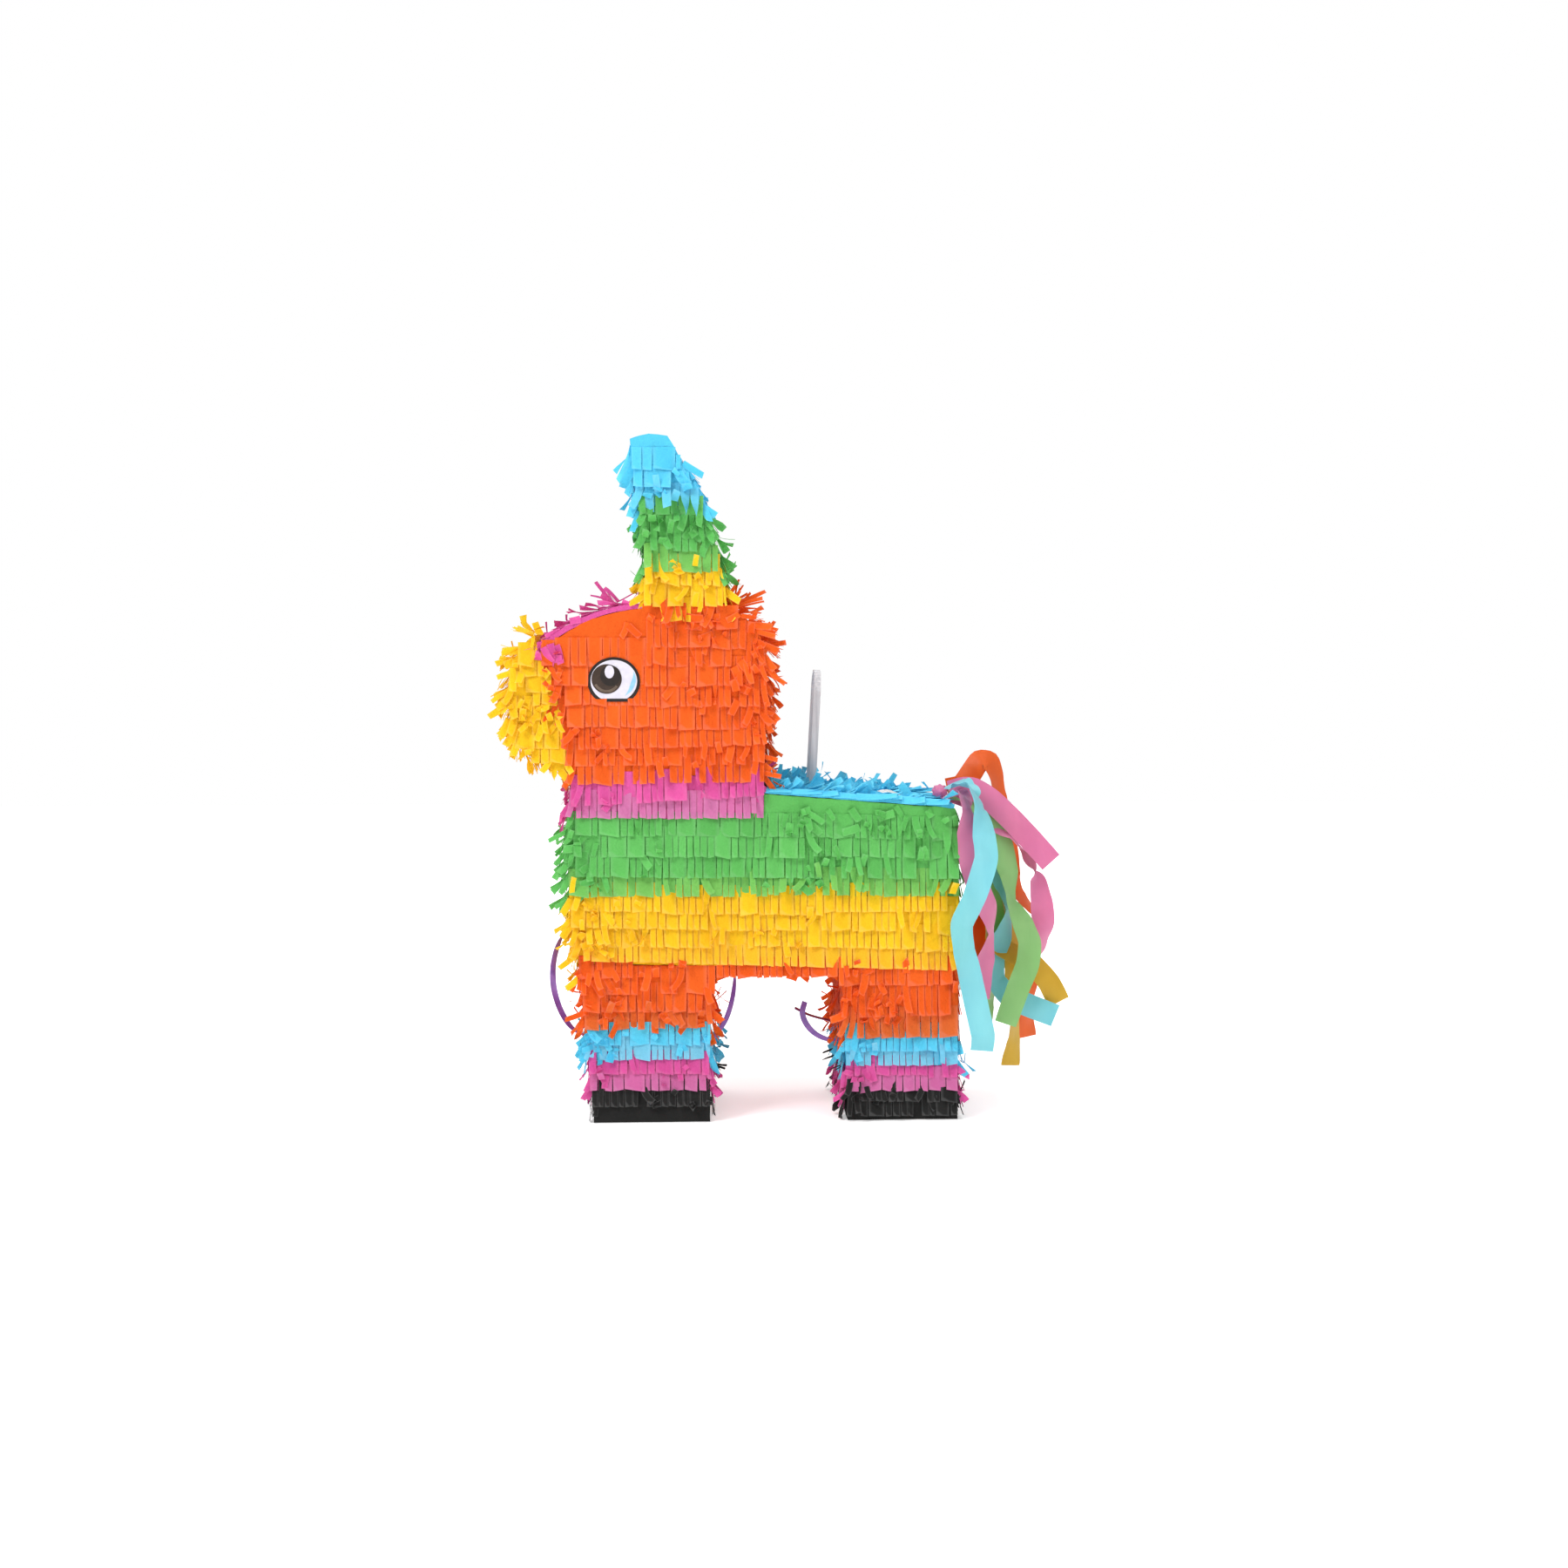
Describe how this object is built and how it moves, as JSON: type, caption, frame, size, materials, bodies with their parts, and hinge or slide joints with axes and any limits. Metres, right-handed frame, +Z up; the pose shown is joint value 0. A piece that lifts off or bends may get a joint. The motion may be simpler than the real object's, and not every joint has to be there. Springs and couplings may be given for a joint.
{
  "type": "pinata",
  "caption": "Donkey pinata: a hollow card body with flat sides, wrapped in bands of cut tissue fringe, with a fill door in its back, a hanging strap and a ribbon tail.",
  "frame": {"origin": "on the floor under the soles, at the middle of the box round the donkey without its ribbons", "axes": "+Z up, the donkey faces -X, its left side faces -Y"},
  "size_m": [0.4546, 0.1416, 0.5435],
  "materials": {
    "kraft_card": "matte",
    "blue_tissue": "matte",
    "green_tissue": "matte",
    "yellow_tissue": "matte",
    "orange_tissue": "matte",
    "magenta_tissue": "matte",
    "black_tissue": "matte",
    "pink_ribbon": "satin",
    "green_ribbon": "satin",
    "blue_ribbon": "satin",
    "yellow_ribbon": "satin",
    "orange_ribbon": "satin",
    "purple_curl_ribbon": "satin",
    "clear_strap": "satin",
    "eye_print": "satin",
    "label_print": "satin"
  },
  "bodies": {
    "donkey": {"left_side_panel": "kraft_card", "right_side_panel": "kraft_card", "front_leg_front_strip": "kraft_card", "chest_strip": "kraft_card", "throat_strip": "kraft_card", "muzzle_strip": "kraft_card", "nose_strip": "kraft_card", "ear_front_strip": "kraft_card", "ear_top_strip": "kraft_card", "ear_back_strip": "kraft_card", "nape_strip": "kraft_card", "rump_strip": "kraft_card", "rear_leg_front_strip": "kraft_card", "belly_strip": "kraft_card", "front_leg_rear_strip": "kraft_card", "front_sole": "kraft_card", "rear_sole": "kraft_card", "back_strip": "kraft_card", "hanger_patch": "kraft_card", "back_blue_paper": "blue_tissue", "ear_blue_paper": "blue_tissue", "ear_green_paper": "green_tissue", "ear_yellow_paper": "yellow_tissue", "muzzle_yellow_paper": "yellow_tissue", "nose_magenta_paper": "magenta_tissue", "head_orange_paper": "orange_tissue", "collar_magenta_paper": "magenta_tissue", "body_green_paper": "green_tissue", "body_yellow_paper": "yellow_tissue", "belly_orange_paper": "orange_tissue", "front_leg_orange_paper": "orange_tissue", "front_leg_blue_paper": "blue_tissue", "front_leg_magenta_paper": "magenta_tissue", "front_leg_black_paper": "black_tissue", "rear_leg_orange_paper": "orange_tissue", "rear_leg_blue_paper": "blue_tissue", "rear_leg_magenta_paper": "magenta_tissue", "rear_leg_black_paper": "black_tissue", "left_eye": "eye_print", "right_eye": "eye_print", "tail_knot": "pink_ribbon", "tail_pink_ribbon_a": "pink_ribbon", "tail_pink_ribbon_b": "pink_ribbon", "tail_pink_ribbon_c": "pink_ribbon", "tail_green_ribbon_a": "green_ribbon", "tail_green_ribbon_b": "green_ribbon", "tail_blue_ribbon_a": "blue_ribbon", "tail_blue_ribbon_b": "blue_ribbon", "tail_yellow_ribbon_a": "yellow_ribbon", "tail_yellow_ribbon_b": "yellow_ribbon", "tail_orange_ribbon_a": "orange_ribbon", "tail_orange_ribbon_b": "orange_ribbon", "chest_curl_ribbon": "purple_curl_ribbon", "front_leg_curl_ribbon": "purple_curl_ribbon", "rear_leg_curl_ribbon_a": "purple_curl_ribbon", "rear_leg_curl_ribbon_b": "purple_curl_ribbon"},
    "fill_door": {"fill_door": "kraft_card", "door_blue_paper": "blue_tissue", "back_label": "label_print"},
    "hanger_strap": {"hanger_strap": "clear_strap"}
  },
  "joints": [
    {"name": "fill_door_hinge", "type": "hinge", "parent": "donkey", "child": "fill_door", "pos_m": [0.14639, 0, 0.25517], "axis": [0, 1, 0], "range_deg": [0, 110]},
    {"name": "hanger_strap_swing", "type": "hinge", "parent": "donkey", "child": "hanger_strap", "pos_m": [0.06327, 0, 0.25886], "axis": [0, 1, 0], "range_deg": [-18, 18], "stiffness_Nm_per_rad": 0.002}
  ]
}
